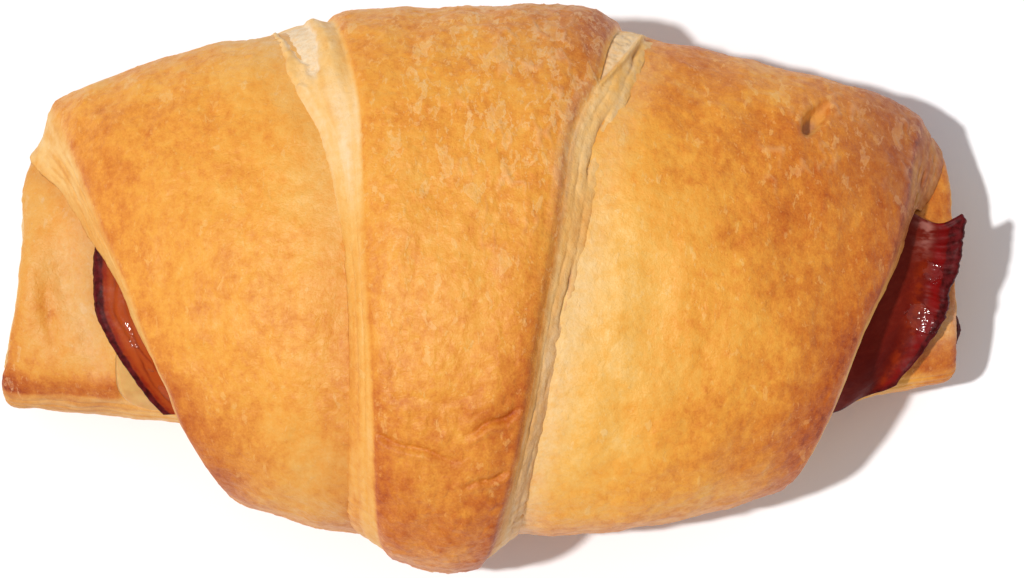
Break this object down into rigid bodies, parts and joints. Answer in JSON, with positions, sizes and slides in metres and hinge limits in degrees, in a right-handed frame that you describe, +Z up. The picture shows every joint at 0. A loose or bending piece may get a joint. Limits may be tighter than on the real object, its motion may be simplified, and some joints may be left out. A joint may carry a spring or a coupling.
{
  "type": "ham and cheese croissant",
  "caption": "Baked croissant rolled from overlapping dough bands, with ham and melted cheese inside that show at both ends.",
  "frame": {"origin": "middle of the flat base, under the middle of the bounding box", "axes": "+X along the roll, towards the end where more ham shows; +Y towards the back, away from the tip of the dough; +Z up"},
  "size_m": [0.1512, 0.0879, 0.0564],
  "materials": {
    "baked_dough": "baked crust, satin, golden to brown",
    "ham": "cooked ham, glossy, dark at its rim",
    "melted_cheese": "melted cheese film, smooth"
  },
  "bodies": {
    "root": {"dough": "baked_dough", "ham": "ham", "inner_ham": "ham", "cheese": "melted_cheese"}
  },
  "joints": []
}
